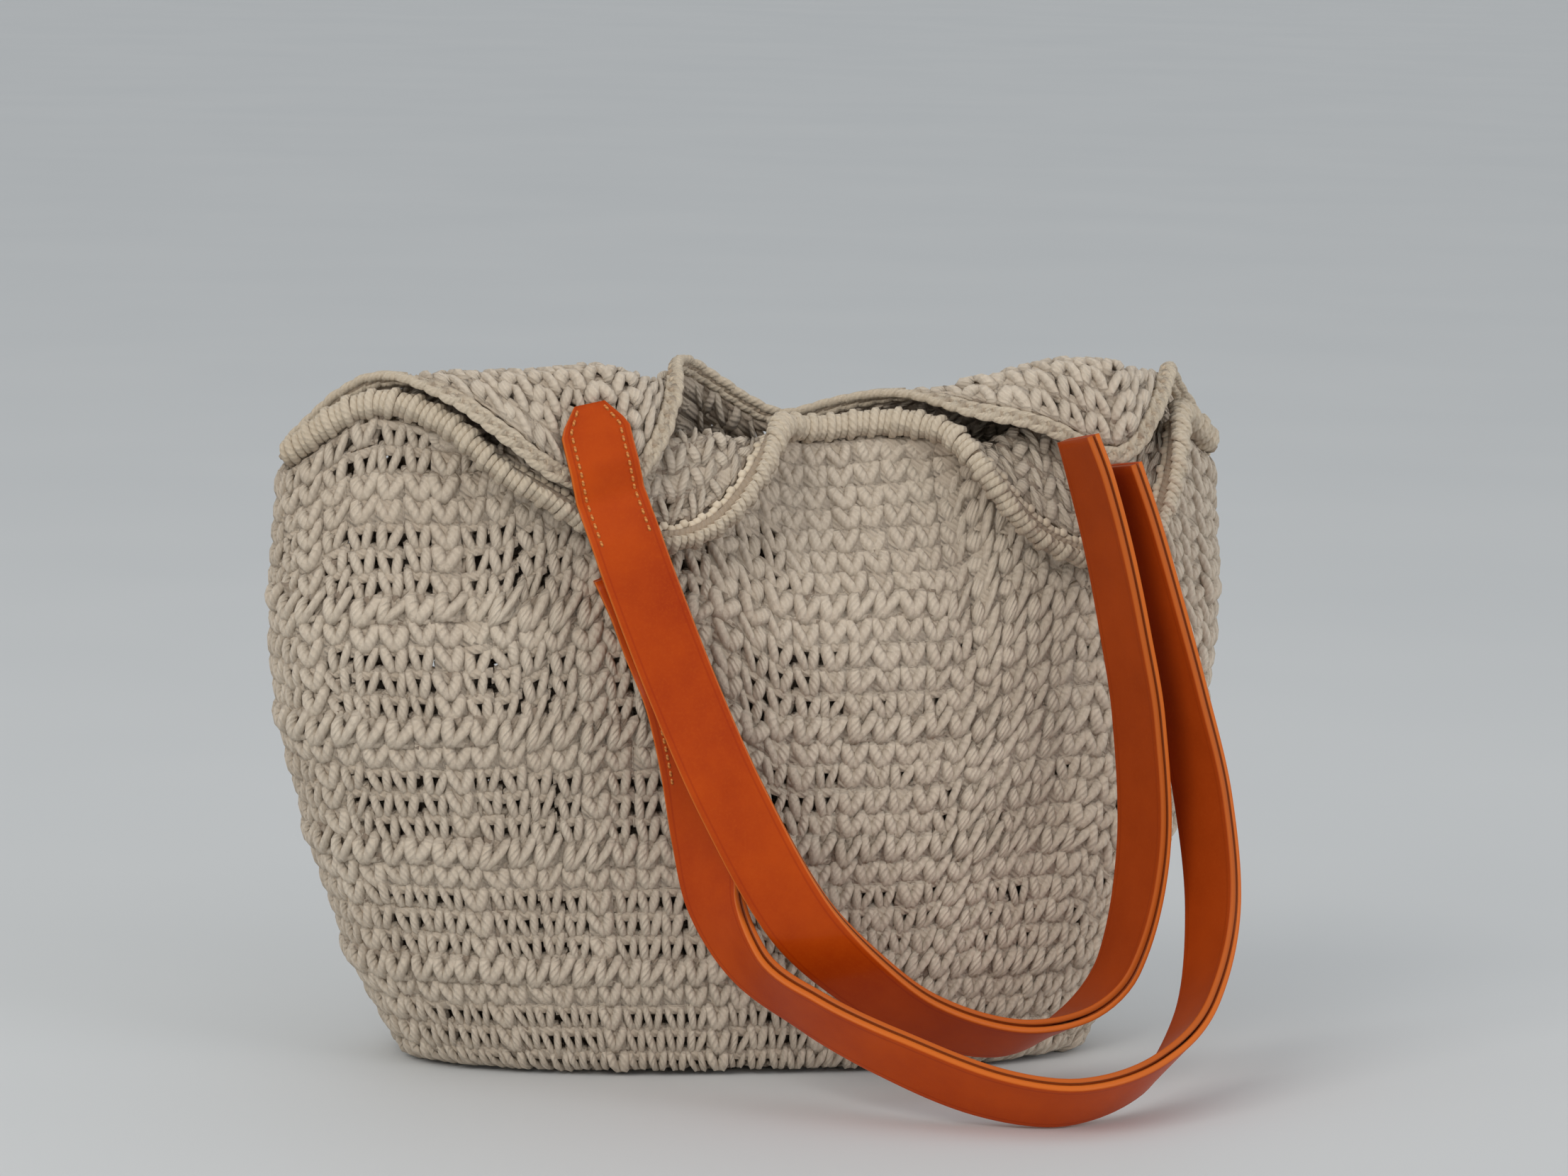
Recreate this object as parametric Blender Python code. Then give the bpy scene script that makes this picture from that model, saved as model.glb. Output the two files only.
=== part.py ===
"""Macrame shoulder bag with two leather straps, standing on its flat base.

The frame is in metres, +Z up. The origin is the centre of the base on the surface that the
bag stands on, +X is the bag's right as seen from its front, and the front faces -Y. The mouth
has slumped: the front panel's edge folds outwards in two lobes, and the back panel's edge
folds forwards over them. Both straps hang down in front in long loops.
"""
import math

import bmesh
import bpy
import numpy as np
from mathutils import Vector
from mathutils.bvhtree import BVHTree

# Sizes of the bag
HEIGHT = 0.288
BELLY_HALF_WIDTH = 0.196
BELLY_HALF_DEPTH = 0.058
BASE_HALF_WIDTH = 0.138
BASE_HALF_DEPTH = 0.051
WALL = 0.005
FOOT_ROUND = 0.004
FOOT_HEIGHT = 0.007
BASE_TURN = math.radians(6.0)
FABRIC_LENGTH = 0.288
ROUNDNESS = 2.5
EDGE_GAP = 0.0012

# Folds of the mouth
FRONT_FOLD_RADIUS = 0.0065
BACK_FOLD_RADIUS = 0.013
FRONT_EDGING_RADIUS = 0.0052
BACK_EDGING_RADIUS = 0.0030
SHORTEST_FOLD = 0.018
SHORTEST_FLAP = 0.006

# Ribs that run round the bag, and creases that run down from the mouth
RIB_PITCH = 0.0485
FIRST_RIB = 0.041
RIB_COUNT = 4
RIB_HEIGHT = 0.0022

# Straps
STRAP_WIDTH = 0.0275
PLY = 0.00265
PLY_GAP = 0.0006
PLY_BEVEL = 0.0006
TAB_SHOULDER = 0.010
TAB_LENGTH = 0.057
SEAT_GAP = 0.0009
LINING_START = 6

# How finely the solids are divided
COLUMNS = 92
COLUMN_SPLITS = 4
SMOOTHING_REACH = 0.006
EDGING_SIDES = 6
END_SHARE = 0.15
WALL_STEPS = 40
FOLD_STEPS = 14
FLAP_STEPS = 10
UPPER_WALL_ROWS = 2
FOLD_ROWS = 7
FLAP_ROWS = 2
STRAP_STATIONS = 60

# The bag's outline at each level: height as a share of HEIGHT, spread from the base's half
# width to the belly's, and half depth from the base's to the belly's
LEVELS = (
    # height, width spread, depth spread
    (0.00, 0.00, 0.00),
    (0.14, 0.37, 0.62),
    (0.30, 0.66, 0.98),
    (0.50, 0.94, 1.00),
    (0.62, 1.00, 0.80),
    (0.86, 0.97, 0.00),
    (1.00, 0.93, 0.00),
)
WALL_TOP_LEVEL = 0.62

# The line along the top of each panel, from the left end to the right one: place as a share of
# the half width, height of the crest as a share of HEIGHT, depth of the wall's top as a share of
# BELLY_HALF_DEPTH (negative towards the front), lean of the wall there and how far the fabric has
# turned at the end of the fold, both in degrees from upright, and length of the flap that hangs
# from the fold as a share of FABRIC_LENGTH
FRONT_LINE = (
    # place, height, depth, lean, turned, flap
    (-1.00, 0.827, -0.45, 0.0, 0.0, 0.000),
    (-0.85, 0.911, -0.52, -4.0, 8.0, 0.000),
    (-0.72, 0.898, -0.60, -10.0, 60.0, 0.000),
    (-0.60, 0.876, -0.68, -12.0, 122.0, 0.012),
    (-0.50, 0.889, -0.70, -12.0, 150.0, 0.048),
    (-0.41, 0.893, -0.70, -12.0, 158.0, 0.086),
    (-0.30, 0.895, -0.70, -12.0, 160.0, 0.104),
    (-0.20, 0.898, -0.68, -12.0, 158.0, 0.095),
    (-0.11, 0.897, -0.58, -12.0, 138.0, 0.048),
    (-0.02, 0.882, -0.45, -8.0, 56.0, 0.000),
    (0.09, 0.870, -0.38, -4.0, 8.0, 0.000),
    (0.20, 0.880, -0.40, -4.0, 14.0, 0.000),
    (0.31, 0.882, -0.48, -8.0, 52.0, 0.000),
    (0.39, 0.884, -0.56, -12.0, 100.0, 0.009),
    (0.47, 0.899, -0.64, -12.0, 152.0, 0.080),
    (0.60, 0.910, -0.67, -12.0, 160.0, 0.148),
    (0.74, 0.910, -0.67, -12.0, 158.0, 0.145),
    (0.81, 0.905, -0.60, -10.0, 130.0, 0.045),
    (0.87, 0.900, -0.52, -6.0, 50.0, 0.000),
    (1.00, 0.827, -0.45, 0.0, 0.0, 0.000),
)
BACK_LINE = (
    # place, height, depth, lean, turned, flap
    (-1.00, 0.827, 0.45, 0.0, 0.0, 0.000),
    (-0.85, 0.936, -0.05, 20.0, 28.0, 0.000),
    (-0.72, 0.970, -0.36, 44.0, 108.0, 0.008),
    (-0.60, 0.978, -0.64, 50.0, 152.0, 0.045),
    (-0.49, 0.981, -0.66, 50.0, 165.0, 0.090),
    (-0.38, 0.983, -0.66, 50.0, 166.0, 0.100),
    (-0.31, 0.979, -0.62, 46.0, 150.0, 0.054),
    (-0.25, 0.973, -0.34, 36.0, 92.0, 0.008),
    (-0.17, 0.966, 0.08, 20.0, 34.0, 0.000),
    (-0.05, 0.917, 0.10, 12.0, 14.0, 0.000),
    (0.04, 0.882, 0.06, 10.0, 12.0, 0.000),
    (0.15, 0.902, 0.00, 14.0, 20.0, 0.000),
    (0.30, 0.936, -0.14, 34.0, 80.0, 0.000),
    (0.42, 0.957, -0.46, 44.0, 130.0, 0.015),
    (0.52, 0.983, -0.62, 50.0, 150.0, 0.036),
    (0.62, 0.992, -0.70, 50.0, 160.0, 0.070),
    (0.69, 0.987, -0.72, 50.0, 160.0, 0.085),
    (0.76, 0.980, -0.62, 48.0, 145.0, 0.042),
    (0.83, 0.970, -0.32, 38.0, 100.0, 0.008),
    (0.90, 0.950, 0.02, 20.0, 28.0, 0.000),
    (1.00, 0.827, 0.45, 0.0, 0.0, 0.000),
)

# Creases pressed into the front: place across, upper and lower end as shares of the fabric's
# length, half width as a share of the half width, and depth as a share of WALL
CREASES = (
    # place, lower, upper, half width, depth
    (-0.66, 0.52, 0.84, 0.045, 1.3),
    (0.40, 0.55, 0.90, 0.050, 1.1),
    (-0.20, 0.20, 0.60, 0.090, 0.8),
    (0.62, 0.15, 0.62, 0.080, 0.9),
)

# Routes of the straps as chosen points: place of the middle of the strap in shares of
# BELLY_HALF_WIDTH, BELLY_HALF_DEPTH and HEIGHT, and how far its face turns from the front, in
# degrees, towards the ground at the bottom of the loop and to the back on the way up
INNER_STRAP = (
    # across, depth, height, turn
    (-0.440, -1.010, 0.944, 2.0),
    (-0.418, -1.150, 0.870, 3.0),
    (-0.392, -1.260, 0.800, 5.0),
    (-0.352, -1.375, 0.715, 8.0),
    (-0.266, -1.520, 0.560, 10.0),
    (-0.178, -1.680, 0.420, 12.0),
    (-0.048, -1.790, 0.264, 20.0),
    (0.078, -1.810, 0.180, 37.0),
    (0.222, -1.760, 0.115, 48.0),
    (0.416, -1.720, 0.078, 56.0),
    (0.570, -1.660, 0.108, 82.0),
    (0.660, -1.590, 0.172, 98.0),
    (0.708, -1.540, 0.330, 110.0),
    (0.688, -1.540, 0.515, 110.0),
    (0.650, -1.550, 0.640, 108.0),
    (0.610, -1.560, 0.750, 106.0),
    (0.566, -1.560, 0.850, 104.0),
    (0.540, -1.520, 0.905, 100.0),
)
OUTER_STRAP = (
    # across, depth, height, turn
    (-0.350, -1.165, 0.718, 6.0),
    (-0.316, -1.180, 0.660, 8.0),
    (-0.262, -1.255, 0.560, 13.0),
    (-0.222, -1.290, 0.450, 19.0),
    (-0.198, -1.310, 0.350, 37.0),
    (-0.180, -1.420, 0.262, 57.0),
    (-0.124, -1.670, 0.187, 65.0),
    (-0.028, -2.050, 0.139, 59.0),
    (0.090, -2.400, 0.100, 50.0),
    (0.275, -2.730, 0.054, 45.0),
    (0.440, -2.860, 0.042, 46.0),
    (0.630, -2.590, 0.066, 56.0),
    (0.765, -2.180, 0.132, 84.0),
    (0.830, -1.840, 0.252, 110.0),
    (0.822, -1.640, 0.405, 118.0),
    (0.775, -1.540, 0.550, 115.0),
    (0.715, -1.500, 0.690, 113.0),
    (0.668, -1.480, 0.790, 112.0),
    (0.632, -1.450, 0.865, 108.0),
)


def smooth(t):
    """Eased step from 0 to 1."""
    t = min(1.0, max(0.0, t))
    return t * t * (3.0 - 2.0 * t)


def read(rows, place, column, last_slope=None):
    """Value of one column of a table at a place, on a smooth curve through its rows."""
    place = min(rows[-1][0], max(rows[0][0], place))
    i = 0
    while i < len(rows) - 2 and place > rows[i + 1][0]:
        i += 1

    def slope(k):
        if k == len(rows) - 1 and last_slope is not None:
            return last_slope
        lo = max(0, k - 1)
        hi = min(len(rows) - 1, k + 1)
        return (rows[hi][column] - rows[lo][column]) / (rows[hi][0] - rows[lo][0])

    step = rows[i + 1][0] - rows[i][0]
    t = (place - rows[i][0]) / step
    a = rows[i][column]
    b = rows[i + 1][column]
    ease = t * t * (3.0 - 2.0 * t)
    start = t * (1.0 - t) * (1.0 - t) * step * slope(i)
    end = t * t * (t - 1.0) * step * slope(i + 1)
    return a + (b - a) * ease + start + end


def half_width(z):
    return BASE_HALF_WIDTH + (BELLY_HALF_WIDTH - BASE_HALF_WIDTH) * read(LEVELS, z / HEIGHT, 1)


def panel_path(front, place):
    """Middle line of the fabric from the base to the edge: width, depth of the wall, height, and
    how far the fold carries the fabric past the wall's depth."""
    side = -1.0 if front else 1.0
    line = FRONT_LINE if front else BACK_LINE
    radius = FRONT_FOLD_RADIUS if front else BACK_FOLD_RADIUS
    crest = read(line, place, 1) * HEIGHT
    top_depth = read(line, place, 2) * BELLY_HALF_DEPTH
    lean = math.radians(read(line, place, 3))
    turned = max(lean, math.radians(read(line, place, 4)))
    flap = max(0.0, read(line, place, 5)) * FABRIC_LENGTH
    top = crest - radius * (math.sin(min(turned, math.pi / 2)) - math.sin(lean))

    rows = []
    for height, _, spread in LEVELS:
        if height <= WALL_TOP_LEVEL:
            depth = BASE_HALF_DEPTH + (BELLY_HALF_DEPTH - BASE_HALF_DEPTH) * spread
            rows.append((height * HEIGHT, side * depth))
    rows.append((top, top_depth))
    path = []
    for k in range(WALL_STEPS + 1):
        z = top * k / WALL_STEPS
        path.append((half_width(z), read(rows, z, 1, -math.tan(lean)), z, 0.0))
    width = half_width(top)
    for k in range(1, FOLD_STEPS + 1):
        angle = lean + (turned - lean) * k / FOLD_STEPS
        carried = radius * (math.cos(angle) - math.cos(lean))
        path.append((width, top_depth, top + radius * (math.sin(angle) - math.sin(lean)), carried))
    _, _, z, carried = path[-1]
    for k in range(1, FLAP_STEPS + 1):
        run = (flap + 1e-6) * k / FLAP_STEPS
        path.append((width, top_depth, z + run * math.cos(turned), carried - run * math.sin(turned)))
    return np.array(path)


def even_angles(count):
    """Angles round the outline that space the columns evenly at the belly."""
    fine = np.linspace(0.0, 2.0 * math.pi, 2001) + math.pi
    across = np.sign(np.cos(fine)) * np.abs(np.cos(fine)) ** (2.0 / ROUNDNESS) * BELLY_HALF_WIDTH
    depth = np.sign(np.sin(fine)) * np.abs(np.sin(fine)) ** (2.0 / ROUNDNESS) * BELLY_HALF_DEPTH
    length = np.concatenate(([0.0], np.cumsum(np.hypot(np.diff(across), np.diff(depth)))))
    return np.interp(np.arange(count) / count * length[-1], length, fine)


def shell_rows(length, fold_start, fold_end):
    """Lengths along the fabric where the shell has a row: at the ribs, closely round the fold,
    and down the flap."""
    rows = [FOOT_HEIGHT]
    for k in range(RIB_COUNT):
        rows.append(FIRST_RIB + (k - 0.5) * RIB_PITCH)
        rows.append(FIRST_RIB + k * RIB_PITCH)
    reach = max(SHORTEST_FOLD, fold_end - fold_start)
    end = min(length - SHORTEST_FLAP, (fold_start + fold_end + reach) / 2)
    start = end - reach
    rows.extend(np.linspace(rows[-1], start, UPPER_WALL_ROWS + 2)[1:-1])
    rows.extend(np.linspace(start, end, FOLD_ROWS))
    rows.extend(np.linspace(end, length, FLAP_ROWS + 1)[1:])
    return np.array(rows)


def fabric_column(angle):
    """Points of the fabric's middle surface up one column, with how far each stands out."""
    cosine = math.cos(angle)
    sine = math.sin(angle)
    across = math.copysign(abs(cosine) ** (2.0 / ROUNDNESS), cosine)
    depth = abs(sine) ** (2.0 / ROUNDNESS)
    front = sine < 0.0
    path = panel_path(front, across)
    steps = np.hypot(np.diff(path[:, 1] + path[:, 3]), np.diff(path[:, 2]))
    length = np.concatenate(([0.0], np.cumsum(steps)))
    rows = shell_rows(length[-1], length[WALL_STEPS], length[WALL_STEPS + FOLD_STEPS])
    width = np.interp(rows, length, path[:, 0]) * across
    deep = np.interp(rows, length, path[:, 1]) * depth + np.interp(rows, length, path[:, 3])
    z = np.interp(rows, length, path[:, 2])
    turn = BASE_TURN * np.clip(1.0 - z / (0.5 * HEIGHT), 0.0, 1.0)
    x = width * np.cos(turn) + deep * np.sin(turn)
    y = deep * np.cos(turn) - width * np.sin(turn)
    return np.stack([x, y, z], axis=1), relief(front, across, rows)


def relief(front, across, rows):
    """How far the fabric stands out at each row: ribs, mostly at the left, and creases."""
    out = np.zeros(len(rows))
    strength = RIB_HEIGHT * (0.35 + 0.65 * smooth((0.1 - across) / 0.8))
    phase = (rows - FIRST_RIB) / RIB_PITCH
    inside = (phase > -0.5) & (phase < RIB_COUNT - 0.5)
    out += np.where(inside, strength * np.cos(2.0 * math.pi * phase), 0.0)
    if front:
        for place, lower, upper, spread, depth in CREASES:
            near = math.exp(-((across - place) / spread) ** 2)
            share = np.clip((rows / FABRIC_LENGTH - lower) / (upper - lower), 0.0, 1.0)
            out -= depth * WALL * near * np.sin(math.pi * share) ** 2
    return out


def fabric_grid():
    """Middle surface and outward normals of the fabric, column by column, eased round the bag."""
    places = []
    out = []
    for angle in even_angles(COLUMNS * COLUMN_SPLITS):
        points, standing = fabric_column(angle)
        places.append(points)
        out.append(standing)
    places = np.array(places)
    spacing = np.linalg.norm(np.diff(places[:, 0], axis=0), axis=1).mean()
    for _ in range(round(2.0 * (SMOOTHING_REACH / spacing) ** 2)):
        places = (np.roll(places, 1, axis=0) + 2.0 * places + np.roll(places, -1, axis=0)) / 4.0
    along = np.roll(places, -2, axis=0) - np.roll(places, 2, axis=0)
    up = np.gradient(places, axis=1)
    normals = np.cross(along, up)
    normals /= np.linalg.norm(normals, axis=2, keepdims=True)
    places += normals * np.array(out)[:, :, None]
    return places[::COLUMN_SPLITS], normals[::COLUMN_SPLITS]


def ring_faces(bm, lower, upper):
    """Faces between two closed rings of the same count."""
    count = len(lower)
    for k in range(count):
        bm.faces.new((lower[k], lower[(k + 1) % count], upper[(k + 1) % count], upper[k]))


def new_object(name, bm, material, sharp=60.0):
    """Object with its mesh, faces turned outwards and shaded smooth."""
    bmesh.ops.recalc_face_normals(bm, faces=bm.faces)
    mesh = bpy.data.meshes.new(name)
    bm.to_mesh(mesh)
    bm.free()
    mesh.shade_smooth()
    mesh.set_sharp_from_angle(angle=math.radians(sharp))
    mesh.materials.append(material)
    thing = bpy.data.objects.new(name, mesh)
    bpy.context.scene.collection.objects.link(thing)
    return thing


def surface_material(name, colour, roughness):
    material = bpy.data.materials.new(name)
    material.use_nodes = True
    shader = material.node_tree.nodes["Principled BSDF"]
    shader.inputs["Base Color"].default_value = (*colour, 1.0)
    shader.inputs["Roughness"].default_value = roughness
    shader.inputs["Metallic"].default_value = 0.0
    return material


def inset_ring(bm, points, inset, z):
    """Ring at one height, pulled in towards the middle of the base."""
    ring = []
    for point in points:
        flat = Vector((point[0], point[1], 0.0))
        flat -= flat.normalized() * inset
        ring.append(bm.verts.new((flat.x, flat.y, z)))
    return ring


def bag_body(material):
    """The knotted shell: base, walls and the folded lobes of the mouth, in one wall thickness."""
    places, normals = fabric_grid()
    bm = bmesh.new()
    outside = []
    inside = []
    for row in range(places.shape[1]):
        shift = normals[:, row] * WALL / 2
        outside.append([bm.verts.new(p) for p in places[:, row] + shift])
        inside.append([bm.verts.new(p) for p in places[:, row] - shift])
    for row in range(places.shape[1] - 1):
        ring_faces(bm, outside[row], outside[row + 1])
        ring_faces(bm, inside[row + 1], inside[row])
    ring_faces(bm, outside[-1], inside[-1])
    foot = inset_ring(bm, places[:, 0], FOOT_ROUND - WALL / 2, 0.0)
    floor = inset_ring(bm, places[:, 0], FOOT_ROUND, WALL)
    ring_faces(bm, foot, outside[0])
    ring_faces(bm, inside[0], floor)
    bm.faces.new(foot)
    bm.faces.new(floor)
    return new_object("bag_body", bm, material)


def edging(name, front, radius, material):
    """Round edging that runs along one panel's edge, just past the fabric."""
    places, normals = fabric_grid()
    half = COLUMNS // 2
    first = 0 if front else half
    ends = places[:, -1]
    along = np.roll(ends, -1, axis=0) - np.roll(ends, 1, axis=0)
    along /= np.linalg.norm(along, axis=1, keepdims=True)
    run = ends - places[:, -2]
    run -= along * np.sum(run * along, axis=1, keepdims=True)
    run /= np.linalg.norm(run, axis=1, keepdims=True)
    out = np.cross(run, along)
    middle = ends + run * (radius + EDGE_GAP)
    bm = bmesh.new()
    rings = []
    for order in range(half + 1):
        k = (first + min(max(order, 1), half - 1)) % COLUMNS
        centre = middle[k] + (middle[(first + order) % COLUMNS] - middle[k]) * END_SHARE
        ring = []
        for step in range(EDGING_SIDES):
            angle = 2.0 * math.pi * step / EDGING_SIDES
            ring.append(bm.verts.new(centre + radius * (math.cos(angle) * run[k] + math.sin(angle) * out[k])))
        rings.append(ring)
    for a, b in zip(rings, rings[1:]):
        ring_faces(bm, a, b)
    bm.faces.new(rings[0])
    bm.faces.new(rings[-1])
    return new_object(name, bm, material)


def strap_frames(route):
    """Points along a strap with its direction, width and facing, evenly spaced."""
    size = np.array((BELLY_HALF_WIDTH, BELLY_HALF_DEPTH, HEIGHT))
    knots = np.array([row[:3] for row in route]) * size
    spans = np.concatenate(([0.0], np.cumsum(np.linalg.norm(np.diff(knots, axis=0), axis=1))))
    tables = []
    for axis in range(3):
        tables.append([(s, k[axis]) for s, k in zip(spans, knots)])
    turns = [(s, math.radians(row[3])) for s, row in zip(spans, route)]
    frames = []
    for s in np.linspace(0.0, spans[-1], STRAP_STATIONS):
        point = Vector([read(t, s, 1) for t in tables])
        near = spans[-1] * 0.004
        ahead = Vector([read(t, min(spans[-1], s + near), 1) for t in tables])
        behind = Vector([read(t, max(0.0, s - near), 1) for t in tables])
        along = (ahead - behind).normalized()
        face = Vector((0.0, -1.0, 0.0))
        face = (face - along * face.dot(along)).normalized()
        width = face.cross(along)
        turn = read(turns, s, 1)
        turned_width = width * math.cos(turn) + face * math.sin(turn)
        turned_face = face * math.cos(turn) - width * math.sin(turn)
        frames.append((s, point, turned_width, turned_face))
    return frames


def surface_tree(thing):
    """Search tree of an object's faces."""
    points = [v.co for v in thing.data.vertices]
    return BVHTree.FromPolygons(points, [tuple(f.vertices) for f in thing.data.polygons])


def seated(frames, trees, behind):
    """The same frames, with those of the sewn tab laid on the bag, clear of it by a small gap and
    by the thickness behind the strap's middle."""
    start = frames[0][0]
    moved = []
    for s, point, width, face in frames:
        shifts = []
        for share in (-0.54, -0.36, -0.18, 0.0, 0.18, 0.36, 0.54):
            edge = point + width * (share * STRAP_WIDTH)
            for tree in trees:
                hit = tree.ray_cast(Vector((edge.x, -3.0 * BELLY_HALF_DEPTH, edge.z)), Vector((0.0, 1.0, 0.0)))
                if hit[0] is not None:
                    shifts.append(edge.y + SEAT_GAP + behind - hit[0].y)
        ease = smooth((TAB_LENGTH - (s - start)) / (0.5 * TAB_LENGTH))
        moved.append((s, point + Vector((0.0, -max(shifts) * ease, 0.0)), width, face))
    return moved


def strap_ply(name, frames, outer, first, last, pointed, material):
    """One leather ply of a strap between two stations, with bevelled long edges."""
    frames = frames[first:last]
    sign = 1.0 if outer else -1.0
    near = sign * PLY_GAP / 2
    far = sign * (PLY_GAP / 2 + PLY)
    bevelled = far - sign * PLY_BEVEL
    start = frames[0][0]
    bm = bmesh.new()
    rings = []
    for s, point, width, face in frames:
        half = STRAP_WIDTH / 2
        if pointed:
            half *= min(1.0, 0.45 + 0.55 * (s - start) / TAB_SHOULDER)
        section = (
            (-half, near),
            (-half, bevelled),
            (-half + PLY_BEVEL, far),
            (half - PLY_BEVEL, far),
            (half, bevelled),
            (half, near),
        )
        rings.append([bm.verts.new(point + width * a + face * b) for a, b in section])
    for a, b in zip(rings, rings[1:]):
        ring_faces(bm, a, b)
    bm.faces.new(rings[0])
    bm.faces.new(rings[-1])
    return new_object(name, bm, material, 30.0)


def build():
    for thing in list(bpy.data.objects):
        bpy.data.objects.remove(thing, do_unlink=True)
    cotton = surface_material("natural_cotton_cord", (0.56, 0.49, 0.40), 0.9)
    edge_cotton = surface_material("edging_cotton_cord", (0.60, 0.53, 0.43), 0.9)
    leather = surface_material("orange_tan_leather", (0.55, 0.10, 0.015), 0.38)
    lining = surface_material("strap_lining_leather", (0.40, 0.07, 0.012), 0.5)
    body = bag_body(cotton)
    front_rim = edging("front_edging", True, FRONT_EDGING_RADIUS, edge_cotton)
    back_rim = edging("back_edging", False, BACK_EDGING_RADIUS, edge_cotton)
    trees = [surface_tree(thing) for thing in (body, front_rim, back_rim)]
    inner = seated(strap_frames(INNER_STRAP), trees, 0.0)
    outer = seated(strap_frames(OUTER_STRAP), trees, PLY_GAP / 2 + PLY)
    strap_ply("inner_strap_face", inner, True, 0, STRAP_STATIONS, True, leather)
    strap_ply("inner_strap_lining", inner, False, LINING_START, STRAP_STATIONS, False, lining)
    strap_ply("outer_strap_face", outer, True, 0, STRAP_STATIONS, False, leather)
    strap_ply("outer_strap_lining", outer, False, 0, STRAP_STATIONS, False, lining)


build()
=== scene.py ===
"""Looks of the knotted-cord shoulder bag: knots, edgings, straps, finishes, light and camera."""
import math

import bpy
import numpy as np
from mathutils import Matrix, Vector
from mathutils.bvhtree import BVHTree


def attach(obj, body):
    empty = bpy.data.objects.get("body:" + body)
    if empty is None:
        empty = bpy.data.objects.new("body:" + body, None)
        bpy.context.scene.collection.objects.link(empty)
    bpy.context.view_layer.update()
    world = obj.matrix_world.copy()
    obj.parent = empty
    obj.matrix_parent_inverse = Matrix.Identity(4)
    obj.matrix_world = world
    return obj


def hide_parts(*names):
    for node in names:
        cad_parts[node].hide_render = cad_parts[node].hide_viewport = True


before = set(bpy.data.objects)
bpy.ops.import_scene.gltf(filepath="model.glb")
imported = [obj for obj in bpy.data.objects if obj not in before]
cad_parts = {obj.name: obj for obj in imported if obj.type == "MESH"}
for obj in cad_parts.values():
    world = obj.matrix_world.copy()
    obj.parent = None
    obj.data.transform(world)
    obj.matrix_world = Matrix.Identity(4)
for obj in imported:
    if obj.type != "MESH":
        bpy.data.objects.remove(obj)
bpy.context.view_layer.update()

# Camera

CAMERA_PLACE = Vector((-0.6016, -2.0871, 0.502))
CAMERA_AZIMUTH = math.radians(-16.4)
CAMERA_PITCH = math.radians(8.17)
CAMERA_ROLL = math.radians(1.45)
CAMERA_LENS = 124.2


def add_camera():
    """Camera at the photograph's viewing angle."""
    flat = Vector((-math.sin(CAMERA_AZIMUTH), math.cos(CAMERA_AZIMUTH), 0.0))
    side = Vector((math.cos(CAMERA_AZIMUTH), math.sin(CAMERA_AZIMUTH), 0.0))
    ahead = flat * math.cos(CAMERA_PITCH) - Vector((0, 0, math.sin(CAMERA_PITCH)))
    above = flat * math.sin(CAMERA_PITCH) + Vector((0, 0, math.cos(CAMERA_PITCH)))
    right = side * math.cos(CAMERA_ROLL) + above * math.sin(CAMERA_ROLL)
    up = above * math.cos(CAMERA_ROLL) - side * math.sin(CAMERA_ROLL)
    turn = Matrix((right, up, -ahead)).transposed().to_4x4()
    data = bpy.data.cameras.new("view")
    data.lens = CAMERA_LENS
    data.sensor_width = 36.0
    data.clip_end = 20.0
    camera = bpy.data.objects.new("view", data)
    camera.matrix_world = Matrix.Translation(CAMERA_PLACE) @ turn
    bpy.context.scene.collection.objects.link(camera)
    bpy.context.scene.camera = camera


add_camera()

# The bag's form, as its solids have it

HEIGHT = 0.288
BELLY_HALF_WIDTH = 0.196
BELLY_HALF_DEPTH = 0.058
BASE_HALF_WIDTH = 0.138
BASE_HALF_DEPTH = 0.051
WALL = 0.005
BASE_TURN = math.radians(6.0)
FABRIC_LENGTH = 0.288
ROUNDNESS = 2.5
FRONT_FOLD_RADIUS = 0.0065
BACK_FOLD_RADIUS = 0.013
FRONT_EDGING_RADIUS = 0.0052
BACK_EDGING_RADIUS = 0.0030
EDGE_GAP = 0.0012
STRAP_WIDTH = 0.0275
PLY = 0.00265
PLY_GAP = 0.0006
TAB_LENGTH = 0.057
TAB_SHOULDER = 0.010
SEAT_GAP = 0.0009
WALL_STEPS = 40
FOLD_STEPS = 14
FLAP_STEPS = 10
SMOOTHING_REACH = 0.006
STRAP_STATIONS = 160
SOLID_STATIONS = 60
LINING_START = 6

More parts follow.
